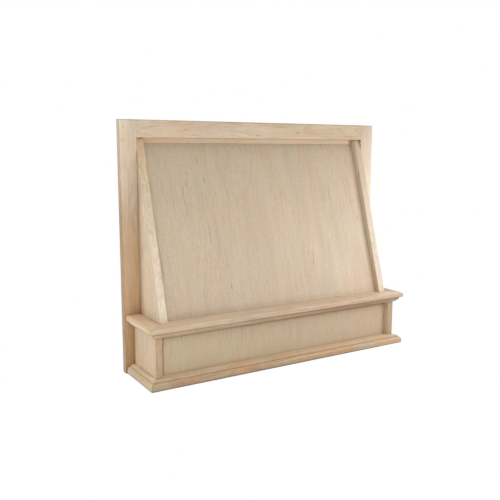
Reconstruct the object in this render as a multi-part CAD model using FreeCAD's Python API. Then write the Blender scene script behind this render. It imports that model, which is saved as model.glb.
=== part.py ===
import FreeCAD, Part
import math
import os

# Wooden range hood front: a face frame carrying a wedge-shaped body on a shallow apron box,
# with a mitred cap moulding and a mitred base moulding round three sides.
# Millimetres. +Z is up, the front faces -Y, +X is right when facing the front.
# The origin is the middle of the bounding box, on the plane that the foot stands on.

# Stock
board = 19.05              # solid boards, three-quarter inch
thin_ply = 6.35            # sloping panel, quarter inch
thick_ply = 15.875         # apron panel, five eighths
batten = 19.05             # square strips behind the sloping panel
rail_stock = 38.1          # foot rail and liner ledges

# Face frame
width = 762.0
height = 607.0
stile_width = 41.0
rail_width = 41.0

# Sloping body
cap_top = 144.8            # height of the ledge that the sloping body stands on
slope_setback = 14.5       # side boards' toes, back from the front edges of the apron sides
slope_vanish_drop = 67.3   # their edges pass behind the frame's face this far below its top
panel_gap = 0.25           # loose fit of a plywood panel between its side boards
cleat_show = 12.5          # height of the cleat that shows below the rail
cleat_inset = 12.7         # cleat ends, in from the frame's outer edges
batten_drop = 53.5         # how far the side battens stop below the cleat

# Apron box
apron_reach = 132.0        # front edges of the apron sides, in front of the face frame
apron_recess = 14.1        # apron panel, back from those front edges
apron_rabbet = 2.9         # step cut in the apron sides' inner edges for the panel's ends

# Cap moulding, measured outwards from the apron's faces and up from the foot
cap_foot = 116.5
cap_nose = 19.3
cap_top_round = 5.5
cap_nose_low = 131.5
cap_low_round = 2.6
cap_quirk = 4.1            # step in from the nose to the rounded underside
cap_quirk_rise = 3.0
cap_bulge = 1.7

# Base moulding
base_top = 23.5
base_nose = 19.3
base_bead = 12.4           # reach of the upper bead
base_bead_low = 19.0
base_bead_bulge = 1.0
base_quirk_drop = 1.6
base_quirk_floor = 0.9
base_shoulder = 8.0        # height where the rounded shoulder meets the upright face
base_shoulder_bulge = 1.6
base_foot_round = 2.2

# Liner ledges and glue blocks
ledge_rise = 12.7
glue_block_leg = 28.0
glue_block_ease = 6.0

# Dowels
dowel_radius = 4.75
dowel_length = 50.8
dowel_end_room = 1.0
dowel_edge = 11.0          # dowel axis in from the rail's edge
dowel_clearance = 0.05

# Screws and brads
screw_radius = 2.1
screw_head_radius = 4.0
screw_head_depth = 2.6
screw_point = 6.0
screw_drive = 2.6
screw_drive_depth = 1.6
screw_clearance = 0.1
short_screw = 31.75
middle_screw = 38.1
long_screw = 50.8
stile_screw_low = 60.0
stile_screw_drop = 60.0    # top one, below where the slope vanishes, so the panel hides it
stile_screw_count = 4
apron_screw_margin = 14.0  # clear of the ledge, rail, block and frame round them
rail_screw_margin = 9.5    # in from the front and back of a rail
ledge_screw_margin = 26.0  # in from the ends of a side ledge
cleat_end_margin = 19.0    # last screws into the rail, in from its ends
cleat_stile_margin = 12.7  # screws into the stiles, out from their inner edges
brad_radius = 0.8
short_brad = 31.75
long_brad = 44.45
brad_clearance = 0.05
brad_set = 1.5             # heads driven this far below the wood's surface
brad_count = 4
side_brad_back = 26.0      # rear side brads, in front of the face frame
side_brad_span = 53.0

# Holes that fasten the hood front to its neighbours
stile_hole_radius = 2.0
stile_hole_depth = 25.0
stile_hole_span = 400.0
stile_hole_low = 100.0
cleat_hole_radius = 2.5
cleat_hole_pitch = 180.0
cleat_hole_count = 4
liner_hole_radius = 1.5
liner_hole_margin = 11.5   # in from the ends of a side ledge

# Places worked out from the sizes above
slope_reach = apron_reach - slope_setback
slope_vanish = height - slope_vanish_drop
cap_reach = apron_reach + cap_nose
base_reach = apron_reach + base_nose
depth = max(cap_reach, base_reach) + 2 * board
face_y = depth / 2 - 2 * board
half_width = width / 2
opening_half = half_width - stile_width
apron_half = opening_half + board
rabbet_half = opening_half + apron_rabbet
inside_half = opening_half - board
rail_low = height - rail_width
cap_seat = cap_top - board
panel_face = apron_reach - apron_recess
panel_back = panel_face - thick_ply
cleat_low = rail_low - cleat_show
slope = slope_reach / (slope_vanish - cap_top)
slant = math.sqrt(1 + slope * slope)
slope_panel_recess = slope_reach - panel_back
rail_back = panel_back - rail_stock
ledge_top = ledge_rise + board
ledge_inner = inside_half - rail_stock
foot_rail_low = cap_top - rail_stock
frame_middle = -board / 2
far = 2 * width

os.makedirs("parts", exist_ok=True)


def at(x, forward, z):
    """Point given by its distance in front of the frame's face."""
    return FreeCAD.Vector(x, face_y - forward, z)


def block(x_low, x_high, back, front, z_low, z_high):
    """Square-cut board; back and front are distances in front of the frame's face."""
    corner = at(x_low, front, z_low)
    return Part.makeBox(x_high - x_low, front - back, z_high - z_low, corner)


def plate(points, x_low, x_high):
    """Flat outline of (forward, z) points, given thickness from x_low to x_high."""
    corners = [at(x_low, forward, z) for forward, z in points]
    outline = Part.makePolygon(corners + corners[:1])
    return Part.Face(outline).extrude(FreeCAD.Vector(x_high - x_low, 0, 0))


def footprint(points, z_low, z_high):
    """Flat outline of (x, forward) points, given height from z_low to z_high."""
    corners = [at(x, forward, z_low) for x, forward in points]
    outline = Part.makePolygon(corners + corners[:1])
    return Part.Face(outline).extrude(FreeCAD.Vector(0, 0, z_high - z_low))


def mirrored(shape):
    return shape.mirror(FreeCAD.Vector(0, 0, 0), FreeCAD.Vector(1, 0, 0))


def joined(pieces):
    return pieces[0].fuse(pieces[1:]).removeSplitter()


def group(solids):
    return Part.makeCompound(solids)


def save(name, shape):
    shape.exportStep("parts/" + name + ".step")
    print(name, len(shape.Solids), "solids", round(shape.Volume / 1000, 1), "cm3")


def edge_forward(z):
    """Front edge of a side board at height z, in front of the frame's face."""
    return slope * (slope_vanish - z)


def behind_edge(z, recess, thickness=0.0):
    """Line parallel to that edge: set back level, then by a thickness square to it."""
    return edge_forward(z) - recess - thickness * slant


# Fasteners: each is made pointing along +Z with its head's face at the origin, then turned.

def turned(shape, start, direction):
    place = FreeCAD.Placement()
    place.Rotation = FreeCAD.Rotation(FreeCAD.Vector(0, 0, 1), direction)
    place.Base = start
    shape.Placement = place
    return shape


def screw(start, direction, length):
    head = Part.makeCone(screw_head_radius, screw_radius, screw_head_depth)
    shank_length = length - screw_head_depth - screw_point
    shank_start = FreeCAD.Vector(0, 0, screw_head_depth)
    shank = Part.makeCylinder(screw_radius, shank_length, shank_start)
    point_start = FreeCAD.Vector(0, 0, length - screw_point)
    point = Part.makeCone(screw_radius, screw_radius / 4, screw_point, point_start)
    corner = FreeCAD.Vector(-screw_drive / 2, -screw_drive / 2, 0)
    drive = Part.makeBox(screw_drive, screw_drive, screw_drive_depth, corner)
    return turned(joined([head, shank, point]).cut(drive), start, direction)


def screw_bore(start, direction, length):
    mouth = screw_head_radius + screw_clearance
    radius = screw_radius + screw_clearance
    countersink = Part.makeCone(mouth, radius, screw_head_depth)
    hole = Part.makeCylinder(radius, length + screw_clearance)
    return turned(joined([countersink, hole]), start, direction)


def brad(start, direction, length):
    head = FreeCAD.Vector(start) + direction * brad_set
    return turned(Part.makeCylinder(brad_radius, length), head, direction)


def brad_bore(start, direction, length):
    hole = Part.makeCylinder(brad_radius + brad_clearance, brad_set + length + brad_clearance)
    return turned(hole, start, direction)


toward_right = FreeCAD.Vector(1, 0, 0)
toward_left = FreeCAD.Vector(-1, 0, 0)
toward_front = FreeCAD.Vector(0, -1, 0)
toward_back = FreeCAD.Vector(0, 1, 0)
downward = FreeCAD.Vector(0, 0, -1)

# Screws through the right side board into the right stile's edge
stile_screws = []
stile_screw_high = slope_vanish - stile_screw_drop
for step in range(stile_screw_count):
    rise = (stile_screw_high - stile_screw_low) * step / (stile_screw_count - 1)
    stile_screws.append(at(inside_half, frame_middle, stile_screw_low + rise))

# Screws through the right side board into the right apron side
apron_screws = []
for forward in (apron_screw_margin, panel_back - glue_block_leg - apron_screw_margin):
    for z in (ledge_top + apron_screw_margin, foot_rail_low - apron_screw_margin):
        apron_screws.append(at(inside_half, forward, z))

# Screws through the right side board into the ends of the foot rail and front ledge
rail_end_screws = []
for forward in (rail_back + rail_screw_margin, panel_back - rail_screw_margin):
    rail_end_screws.append(at(opening_half, forward, foot_rail_low + rail_screw_margin))
    rail_end_screws.append(at(opening_half, forward, ledge_rise + board / 2))

# Screws through the right liner ledge into the right side board
ledge_screws = []
for forward in (-board + ledge_screw_margin, rail_back - ledge_screw_margin):
    ledge_screws.append(at(ledge_inner, forward, ledge_rise + board / 2))

# Screws through the cleat into the rail and, lower down, into the stiles
cleat_screws = []
rail_end = opening_half - cleat_end_margin
for x in (-rail_end, -cleat_hole_pitch, 0.0, cleat_hole_pitch, rail_end):
    cleat_screws.append(at(x, -2 * board, rail_low + rail_width / 2))
stile_place = opening_half + cleat_stile_margin
for x in (-stile_place, stile_place):
    cleat_screws.append(at(x, -2 * board, cleat_low + cleat_show / 2))

# Brads: down through the cap, and straight in through the base moulding
cap_front_brads = []
base_front_brads = []
for step in range(brad_count):
    x = opening_half * (2 * step + 1 - brad_count) / brad_count
    cap_front_brads.append(at(x, panel_back + thick_ply / 2, cap_top))
    base_front_brads.append(at(x, base_reach, base_shoulder / 2))
cap_side_brads = []
base_side_brads = []
for forward in (side_brad_back, side_brad_back + side_brad_span):
    cap_side_brads.append(at(opening_half + board / 2, forward, cap_top))
    base_side_brads.append(at(apron_half + base_nose, forward, base_shoulder / 2))

# Dowels in the joint between the rail and the right stile
dowels = []
for z in (rail_low + dowel_edge, height - dowel_edge):
    dowels.append(at(opening_half - dowel_length / 2, frame_middle, z))


def dowel(start):
    return Part.makeCylinder(dowel_radius, dowel_length, start, toward_right)


def dowel_bore(start):
    start = start - FreeCAD.Vector(dowel_end_room, 0, 0)
    length = dowel_length + 2 * dowel_end_room
    return Part.makeCylinder(dowel_radius + dowel_clearance, length, start, toward_right)


# Face frame

right_stile = block(opening_half, half_width, -board, 0, 0, height)
for start in stile_screws:
    right_stile = right_stile.cut(screw_bore(start, toward_right, middle_screw))
for start in dowels:
    right_stile = right_stile.cut(dowel_bore(start))
for step in range(2):
    mouth = at(half_width, frame_middle, stile_hole_low + step * stile_hole_span)
    hole = Part.makeCylinder(stile_hole_radius, stile_hole_depth, mouth, toward_left)
    right_stile = right_stile.cut(hole)
right_stile = right_stile.cut(screw_bore(cleat_screws[-1], toward_front, short_screw))
save("frame_right_stile", right_stile)
save("frame_left_stile", mirrored(right_stile))

top_rail = block(-opening_half, opening_half, -board, 0, rail_low, height)
for start in dowels:
    top_rail = top_rail.cut(dowel_bore(start))
    top_rail = top_rail.cut(mirrored(dowel_bore(start)))
for start in cleat_screws[:-2]:
    top_rail = top_rail.cut(screw_bore(start, toward_front, short_screw))
save("frame_top_rail", top_rail)

right_dowels = [dowel(start) for start in dowels]
save("frame_dowels", group(right_dowels + [mirrored(peg) for peg in right_dowels]))

# Cleat behind the rail

cleat_half = half_width - cleat_inset
cleat = block(-cleat_half, cleat_half, -2 * board, -board, cleat_low, height)
for start in cleat_screws:
    cleat = cleat.cut(screw_bore(start, toward_front, short_screw))
for step in range(cleat_hole_count):
    x = cleat_hole_pitch * (step - (cleat_hole_count - 1) / 2)
    top = at(x, -board * 3 / 2, height)
    cleat = cleat.cut(Part.makeCylinder(cleat_hole_radius, height - cleat_low, top, downward))
save("top_cleat", cleat)
save("top_cleat_screws", group([screw(s, toward_front, short_screw) for s in cleat_screws]))

# Side boards: notched at the toe to sit over the apron panel

side_outline = [
    (-board, 0),
    (panel_back, 0),
    (panel_back, cap_seat),
    (slope_reach, cap_seat),
    (slope_reach, cap_top),
    (edge_forward(rail_low), rail_low),
    (-board, rail_low),
]
right_side = plate(side_outline, inside_half, opening_half)
for start in stile_screws:
    right_side = right_side.cut(screw_bore(start, toward_right, middle_screw))
for start in apron_screws:
    right_side = right_side.cut(screw_bore(start, toward_right, short_screw))
for start in rail_end_screws:
    right_side = right_side.cut(screw_bore(start, toward_left, long_screw))
for start in ledge_screws:
    right_side = right_side.cut(screw_bore(start, toward_right, long_screw))
save("right_slope_side", right_side)
save("left_slope_side", mirrored(right_side))

right_screws = [screw(s, toward_right, middle_screw) for s in stile_screws]
save("frame_side_screws", group(right_screws + [mirrored(s) for s in right_screws]))
right_screws = [screw(s, toward_right, short_screw) for s in apron_screws]
save("apron_side_screws", group(right_screws + [mirrored(s) for s in right_screws]))
right_screws = [screw(s, toward_left, long_screw) for s in rail_end_screws]
save("rail_end_screws", group(right_screws + [mirrored(s) for s in right_screws]))
right_screws = [screw(s, toward_right, long_screw) for s in ledge_screws]
save("ledge_screws", group(right_screws + [mirrored(s) for s in right_screws]))

# Sloping panel and what backs it


def sloping(recess, thickness, z_top):
    """Outline of a sheet or strip parallel to the side boards' sloping edges."""
    return [
        (behind_edge(cap_top, recess), cap_top),
        (behind_edge(z_top, recess), z_top),
        (behind_edge(z_top, recess, thickness), z_top),
        (behind_edge(cap_top, recess, thickness), cap_top),
    ]


panel_half = inside_half - panel_gap
slope_panel = plate(sloping(slope_panel_recess, thin_ply, cleat_low), -panel_half, panel_half)
save("slope_panel", slope_panel)

batten_recess = slope_panel_recess + thin_ply * slant
batten_top = cleat_low - batten_drop
right_nailer = plate(sloping(batten_recess, batten, batten_top), inside_half - batten, inside_half)
behind_frame = block(-far, far, -far, -board, 0, height)
right_nailer = right_nailer.cut(behind_frame)
save("right_panel_nailer", right_nailer)
save("left_panel_nailer", mirrored(right_nailer))

rib = plate(sloping(batten_recess, batten, cleat_low), -batten / 2, batten / 2)
behind_cleat = block(-far, far, -far, -2 * board, 0, height)
save("panel_centre_rib", rib.cut(behind_cleat))

# Rails inside the apron box

foot_rail = block(-inside_half, inside_half, rail_back, panel_back, foot_rail_low, cap_top)
front_ledge = block(-inside_half, inside_half, rail_back, panel_back, ledge_rise, ledge_top)
for start in rail_end_screws:
    bore = screw_bore(start, toward_left, long_screw)
    foot_rail = foot_rail.cut(bore).cut(mirrored(bore))
    front_ledge = front_ledge.cut(bore).cut(mirrored(bore))
save("foot_rail", foot_rail)
save("front_liner_ledge", front_ledge)

right_ledge = block(ledge_inner, inside_half, -board, rail_back, ledge_rise, ledge_top)
for start in ledge_screws:
    right_ledge = right_ledge.cut(screw_bore(start, toward_right, long_screw))
for forward in (-board + liner_hole_margin, rail_back - liner_hole_margin):
    mouth = at(ledge_inner + rail_stock / 2, forward, ledge_top)
    right_ledge = right_ledge.cut(Part.makeCylinder(liner_hole_radius, board, mouth, downward))
save("right_liner_ledge", right_ledge)
save("left_liner_ledge", mirrored(right_ledge))

glue_outline = [
    (inside_half, panel_back),
    (inside_half, panel_back - glue_block_leg),
    (inside_half - glue_block_ease, panel_back - glue_block_leg),
    (inside_half - glue_block_leg, panel_back - glue_block_ease),
    (inside_half - glue_block_leg, panel_back),
]
right_glue_block = footprint(glue_outline, ledge_top, foot_rail_low)
save("right_glue_block", right_glue_block)
save("left_glue_block", mirrored(right_glue_block))

# Apron box

right_apron_side = block(opening_half, apron_half, 0, apron_reach, 0, cap_seat)
rabbet = block(opening_half, rabbet_half, panel_back, apron_reach, 0, cap_seat)
right_apron_side = right_apron_side.cut(rabbet)
for start in apron_screws:
    right_apron_side = right_apron_side.cut(screw_bore(start, toward_right, short_screw))
for start in cap_side_brads:
    right_apron_side = right_apron_side.cut(brad_bore(start, downward, short_brad))
for start in base_side_brads:
    right_apron_side = right_apron_side.cut(brad_bore(start, toward_left, short_brad))
save("right_apron_side", right_apron_side)
save("left_apron_side", mirrored(right_apron_side))

apron_panel_half = rabbet_half - panel_gap
apron_panel = block(-apron_panel_half, apron_panel_half, panel_back, panel_face, 0, cap_seat)
for start in cap_front_brads:
    apron_panel = apron_panel.cut(brad_bore(start, downward, short_brad))
for start in base_front_brads:
    apron_panel = apron_panel.cut(brad_bore(start, toward_back, long_brad))
save("apron_front_panel", apron_panel)

# Mouldings: an outline of (reach, z) points swept along the front and along each side


def bowed(start, end, bulge):
    """Middle point of an arc that bulges to the left of the way from start to end."""
    run = end[0] - start[0]
    rise = end[1] - start[1]
    share = bulge / math.hypot(run, rise)
    return ((start[0] + end[0]) / 2 - rise * share, (start[1] + end[1]) / 2 + run * share)


def swept(steps, front, half_length):
    """Sweep an outline along X. A step is a point, or a middle point and an end point."""
    edges = []
    here = steps[-1][-1]
    for step in steps:
        stations = [at(-half_length, front + reach, z) for reach, z in [here] + list(step)]
        if len(stations) == 2:
            edges.append(Part.LineSegment(stations[0], stations[1]).toShape())
        else:
            edges.append(Part.Arc(stations[0], stations[1], stations[2]).toShape())
        here = step[-1]
    face = Part.Face(Part.Wire(edges))
    return face.extrude(FreeCAD.Vector(2 * half_length, 0, 0))


corner_share = 1 - math.sqrt(0.5)


def cap_outline():
    top_start = (cap_nose - cap_top_round, cap_top)
    top_middle = (cap_nose - cap_top_round * corner_share, cap_top - cap_top_round * corner_share)
    top_end = (cap_nose, cap_top - cap_top_round)
    low_start = (cap_nose, cap_nose_low + cap_low_round)
    low_inset = cap_low_round * corner_share
    low_middle = (cap_nose - low_inset, cap_nose_low + low_inset)
    low_end = (cap_nose - cap_low_round, cap_nose_low)
    quirk_reach = cap_nose - cap_low_round - cap_quirk
    under_start = (quirk_reach, cap_nose_low - cap_quirk_rise)
    foot = (0, cap_foot)
    return [
        [(0, cap_top)],
        [top_start],
        [top_middle, top_end],
        [low_start],
        [low_middle, low_end],
        [(quirk_reach, cap_nose_low)],
        [under_start],
        [bowed(under_start, foot, cap_bulge), foot],
    ]


def base_outline():
    bead_end = (base_bead, base_bead_low)
    quirk_low = base_bead_low - base_quirk_drop
    shoulder_start = (base_bead + base_quirk_floor, quirk_low)
    shoulder_end = (base_nose, base_shoulder)
    foot_inset = base_foot_round * corner_share
    foot_end = (base_nose - base_foot_round, 0)
    return [
        [(0, 0)],
        [(0, base_top)],
        [bowed((0, base_top), bead_end, base_bead_bulge), bead_end],
        [(base_bead, quirk_low)],
        [shoulder_start],
        [bowed(shoulder_start, shoulder_end, base_shoulder_bulge), shoulder_end],
        [(base_nose, base_foot_round)],
        [(base_nose - foot_inset, foot_inset), foot_end],
    ]


def mitre_wedge():
    """Everything beside the front length, outside the 45 degree plane of the right corner."""
    inner = apron_half - far
    corner = [(inner, apron_reach - far), (apron_half + far, apron_reach + far)]
    return footprint(corner + [(apron_half + far, apron_reach - far)], -far, far)


right_mitre = mitre_wedge()
left_mitre = mirrored(right_mitre)


def front_length(outline):
    length = swept(outline, apron_reach, far / 2)
    return length.cut(right_mitre).cut(left_mitre)


def right_return(outline):
    """The same outline turned to run from the stile's face to the mitre."""
    length = swept(outline, 0, far / 2)
    quarter = FreeCAD.Vector(0, 0, 1)
    length.rotate(at(0, 0, 0), quarter, 90)
    length.translate(FreeCAD.Vector(apron_half, 0, 0))
    in_front = block(-far, far, 0, far, -far, far)
    return length.common(in_front).common(right_mitre)


cap_shelf_front = block(-apron_half, apron_half, panel_back, apron_reach, cap_seat, cap_top)
cap_shelf_front = cap_shelf_front.cut(right_mitre).cut(left_mitre)
cap_lip = block(-rabbet_half, rabbet_half, panel_face, apron_reach, cap_foot, cap_seat)
toe = block(inside_half, opening_half, panel_back, slope_reach, cap_seat, cap_top)
cap_front = joined([front_length(cap_outline()), cap_shelf_front, cap_lip])
cap_front = cap_front.cut(toe).cut(mirrored(toe))
for start in cap_front_brads:
    cap_front = cap_front.cut(brad_bore(start, downward, short_brad))
save("cap_front", cap_front)

cap_shelf_side = block(opening_half, apron_half, 0, apron_reach, cap_seat, cap_top)
cap_right = joined([right_return(cap_outline()), cap_shelf_side.common(right_mitre)])
for start in cap_side_brads:
    cap_right = cap_right.cut(brad_bore(start, downward, short_brad))
save("cap_right", cap_right)
save("cap_left", mirrored(cap_right))

base_lip = block(-rabbet_half, rabbet_half, panel_face, apron_reach, 0, base_top)
base_front = joined([front_length(base_outline()), base_lip])
for start in base_front_brads:
    base_front = base_front.cut(brad_bore(start, toward_back, long_brad))
save("base_front", base_front)

base_right = right_return(base_outline())
for start in base_side_brads:
    base_right = base_right.cut(brad_bore(start, toward_left, short_brad))
save("base_right", base_right)
save("base_left", mirrored(base_right))

cap_brads = [brad(start, downward, short_brad) for start in cap_front_brads]
base_brads = [brad(start, toward_back, long_brad) for start in base_front_brads]
for start in cap_side_brads:
    side_brad = brad(start, downward, short_brad)
    cap_brads += [side_brad, mirrored(side_brad)]
for start in base_side_brads:
    side_brad = brad(start, toward_left, short_brad)
    base_brads += [side_brad, mirrored(side_brad)]
save("cap_brads", group(cap_brads))
save("base_brads", group(base_brads))
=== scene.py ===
# %% [markdown]
# # A maple range hood front
#
# A range hood front is a piece of kitchen furniture: a face frame with a wedge-shaped body on it,
# standing on a shallow box with a moulding above and one below. A ventilator hides behind it.
# Every board is already here as a imported solid at its true size. What is left to do is to give
# the boards their look: eased edges, maple grain that runs the right way along each board,
# plywood veneer on the panels, and a soft studio light.
#
# The frame is loaded first.

# %% Load the boards
import math

import bmesh
import bpy
from mathutils import Matrix, Vector


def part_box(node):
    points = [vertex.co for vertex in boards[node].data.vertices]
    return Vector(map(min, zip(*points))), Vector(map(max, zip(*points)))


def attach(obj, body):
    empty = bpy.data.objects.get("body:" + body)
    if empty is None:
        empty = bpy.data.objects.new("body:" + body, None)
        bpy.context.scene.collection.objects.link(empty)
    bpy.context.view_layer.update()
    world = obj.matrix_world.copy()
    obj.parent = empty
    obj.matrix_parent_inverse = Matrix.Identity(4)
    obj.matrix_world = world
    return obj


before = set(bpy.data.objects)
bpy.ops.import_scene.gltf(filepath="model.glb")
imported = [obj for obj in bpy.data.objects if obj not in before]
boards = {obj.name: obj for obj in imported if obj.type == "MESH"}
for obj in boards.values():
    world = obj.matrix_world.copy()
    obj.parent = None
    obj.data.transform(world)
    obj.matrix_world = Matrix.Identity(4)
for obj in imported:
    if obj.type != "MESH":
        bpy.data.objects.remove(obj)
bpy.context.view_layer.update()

mm = 0.001
print(len(boards), "named boards and fastener groups")

# %% [markdown]
# ## The camera
#
# The hood front is seen from its left, a little above its top edge. The camera could be aimed by
# eye, but a view that is fitted to the edges of the real thing keeps every proportion right, so
# its place, its three turns and its lens are written down as they were measured. The turns are
# made in the camera's own order: level, tipped down, swung round to the right. An unturned camera
# looks straight down, so a quarter turn is what makes it level.

# %% Camera
camera_place = Vector((-0.90749, -1.38635, 0.53894))
camera_swing = math.radians(-31.285)
camera_dip = math.radians(8.841)
camera_roll = math.radians(0.11)
quarter = math.radians(90)
sensor_width = 36.0
image_width = 500
focal_pixels = 647.5
nearest_seen = 0.05
farthest_seen = 50.0

camera_data = bpy.data.cameras.new("photo_camera")
camera_data.sensor_width = sensor_width
camera_data.lens = focal_pixels / image_width * sensor_width
camera_data.clip_start = nearest_seen
camera_data.clip_end = farthest_seen
camera = bpy.data.objects.new("photo_camera", camera_data)
bpy.context.scene.collection.objects.link(camera)
camera.matrix_world = (
    Matrix.Translation(camera_place)
    @ Matrix.Rotation(camera_swing, 4, "Z")
    @ Matrix.Rotation(quarter - camera_dip, 4, "X")
    @ Matrix.Rotation(camera_roll, 4, "Z")
)
bpy.context.scene.camera = camera
print("lens", round(camera_data.lens, 2), "mm")

# %% [markdown]
# ## Small helpers for shader nodes
#
# Every finish below is a little network of shader nodes, which could also be wired by hand in the
# shader editor. Written down, it can be read and repeated. Three short helpers keep it readable:
# one adds a node with its settings, one links or sets a socket, and one does arithmetic.

# %% Node helpers
def add_node(tree, kind, **settings):
    node = tree.nodes.new(kind)
    for name, value in settings.items():
        setattr(node, name, value)
    return node


def feed(tree, socket, value):
    if isinstance(value, bpy.types.NodeSocket):
        tree.links.new(value, socket)
    else:
        socket.default_value = value


def sum_up(tree, operation, *values):
    node = add_node(tree, "ShaderNodeMath", operation=operation)
    for socket, value in zip(node.inputs, values):
        feed(tree, socket, value)
    return node.outputs[0]


print("node helpers: add_node, feed and sum_up")

# %% [markdown]
# ## The floor and the backdrop
#
# The hood front was photographed on plain white. A curved paper sweep would do the same, but a
# flat floor that the camera sees as pure white is simpler and never shows a seam. To the light
# it is an ordinary pale, matt floor, so the wood still gets its bounce from below.

# %% Floor
floor_half = 6.0
floor_paleness = 0.8

floor_shape = bmesh.new()
bmesh.ops.create_grid(floor_shape, x_segments=1, y_segments=1, size=floor_half)
floor_mesh = bpy.data.meshes.new("pale_floor")
floor_shape.to_mesh(floor_mesh)
floor_shape.free()
floor = bpy.data.objects.new("pale_floor", floor_mesh)
bpy.context.scene.collection.objects.link(floor)

floor_finish = bpy.data.materials.new("pale_floor")
floor_finish.use_nodes = True
tree = floor_finish.node_tree
matt = tree.nodes["Principled BSDF"]
matt.inputs["Base Color"].default_value = (floor_paleness, floor_paleness, floor_paleness, 1)
matt.inputs["Roughness"].default_value = 1.0
matt.inputs["Specular IOR Level"].default_value = 0.0
white = add_node(tree, "ShaderNodeEmission")
sight = add_node(tree, "ShaderNodeLightPath")
choice = add_node(tree, "ShaderNodeMixShader")
feed(tree, choice.inputs[0], sight.outputs["Is Camera Ray"])
feed(tree, choice.inputs[1], matt.outputs[0])
feed(tree, choice.inputs[2], white.outputs[0])
feed(tree, tree.nodes["Material Output"].inputs["Surface"], choice.outputs[0])
floor_mesh.materials.append(floor_finish)
print("floor", 2 * floor_half, "m square")

# %% [markdown]
# ## The white surround
#
# A studio's walls and ceiling send a little light from everywhere. They could be built, but an
# even white world does it with one number. As on the floor, what the camera sees is pure white,
# and what the wood gets is much weaker, so that the lamps still give it its shape.

# %% Surround
surround_strength = 0.12
pure_white = (1, 1, 1, 1)

surround = bpy.data.worlds.new("white_surround")
surround.use_nodes = True
tree = surround.node_tree
soft = tree.nodes["Background"]
soft.inputs["Color"].default_value = pure_white
soft.inputs["Strength"].default_value = surround_strength
seen = add_node(tree, "ShaderNodeBackground")
seen.inputs["Color"].default_value = pure_white
sight = add_node(tree, "ShaderNodeLightPath")
choice = add_node(tree, "ShaderNodeMixShader")
feed(tree, choice.inputs[0], sight.outputs["Is Camera Ray"])
feed(tree, choice.inputs[1], soft.outputs[0])
feed(tree, choice.inputs[2], seen.outputs[0])
feed(tree, tree.nodes["World Output"].inputs["Surface"], choice.outputs[0])
bpy.context.scene.world = surround
bpy.context.scene.view_settings.view_transform = "Standard"
print("surround at strength", surround_strength)

# %% [markdown]
# ## The lamps
#
# Studio lamps are large and soft. Three broad ones stand high: in front, in front on the left and
# overhead. Three more stand low at the back, for the light that comes round from the paper there.
# What gives the wood its shape is a smaller lamp close by on the right-hand side, whose light
# falls off towards the left stile. The paper in front shines back up, and two lamps lying on the
# floor stand for that. Lamps could be dragged into place by eye, but a turn and a height for each
# are easier to compare. Their strengths were set against the tones of the boards, face by face,
# and the camera doesn't see them.

# %% Lamps
middle_height = 0.3
floor_gap = 2 * mm


def add_lamp(name, place, way, size, watts):
    data = bpy.data.lights.new(name, "AREA")
    data.shape = "DISK"
    data.size = size
    data.energy = watts
    lamp = bpy.data.objects.new(name, data)
    lamp.location = place
    lamp.rotation_mode = "QUATERNION"
    lamp.rotation_quaternion = way.to_track_quat("Z", "Y")
    lamp.visible_camera = False
    bpy.context.scene.collection.objects.link(lamp)
    return lamp


def stand_lamp(name, turn, height, watts, distance=3.0, size=1.6):
    # turn is measured from straight in front, positive towards the right-hand side
    across, up = math.radians(turn), math.radians(height)
    way = Vector((math.sin(across) * math.cos(up), -math.cos(across) * math.cos(up), math.sin(up)))
    return add_lamp(name, Vector((0, 0, middle_height)) + way * distance, way, size, watts)


def floor_lamp(name, x, y, watts, size=0.8):
    return add_lamp(name, Vector((x, y, floor_gap)), Vector((0, 0, -1)), size, watts)


lamps = [
    stand_lamp("near_right", turn=52, height=12, watts=3.3, distance=0.9, size=0.45),
    stand_lamp("front_high", turn=0, height=62, watts=19),
    stand_lamp("front_left", turn=-35, height=35, watts=24),
    stand_lamp("overhead", turn=0, height=88, watts=24),
    stand_lamp("left_behind", turn=-110, height=8, watts=36),
    stand_lamp("right_behind", turn=110, height=8, watts=48),
    stand_lamp("far_behind", turn=150, height=8, watts=46),
    floor_lamp("bounce_front", x=0.0, y=-0.9, watts=3.4),
    floor_lamp("bounce_left", x=-0.8, y=-0.6, watts=5.0),
]
print(len(lamps), "soft lamps")

# %% [markdown]
# ## Eased edges
#
# Nobody leaves a raw arris on furniture: each board has had a stroke of fine paper along its
# edges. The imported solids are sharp. They could be rounded in the mesh itself, but a live bevel of
# a third of a millimetre leaves the solid as it is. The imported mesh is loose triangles, so it is
# welded first, and the weighted normals at the end keep the broad faces flat. The cleat behind
# the rail keeps its sawn edges: its screw holes stand in one line, and the flat triangles between
# them would be taken for edges.

# %% Ease the edges
eased = 0.35 * mm
eased_steps = 2
round_profile = 0.5
edge_turn = math.radians(35)
weld_reach = 0.00002
flattest = 100
steel_pieces = [name for name in boards if name.endswith(("_screws", "_brads"))]
wooden_boards = [name for name in boards if name not in steel_pieces]
sawn_boards = ["top_cleat"]


def ease_edges(board, radius):
    weld = board.modifiers.new("weld_triangles", "WELD")
    weld.merge_threshold = weld_reach
    bevel = board.modifiers.new("eased_edges", "BEVEL")
    bevel.width = radius
    bevel.segments = eased_steps
    bevel.profile = round_profile
    bevel.limit_method = "ANGLE"
    bevel.angle_limit = edge_turn
    bevel.use_clamp_overlap = True
    normals = board.modifiers.new("flat_faces", "WEIGHTED_NORMAL")
    normals.weight = flattest


for name in wooden_boards:
    if name not in sawn_boards:
        ease_edges(boards[name], eased)
print(len(wooden_boards) - len(sawn_boards), "boards with eased edges")

# %% [markdown]
# ## Putty over the brads
#
# The mouldings are pinned on with brads set below the surface, and each little hole is stopped
# with putty. A dark spot painted on the wood would do from afar, but it would have no edge. The
# brads are solids of their own and the putty is only a finish, so it is made here: a short plug
# for each hole, a shade darker than the maple and a hair below its surface, with a softened rim.

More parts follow.
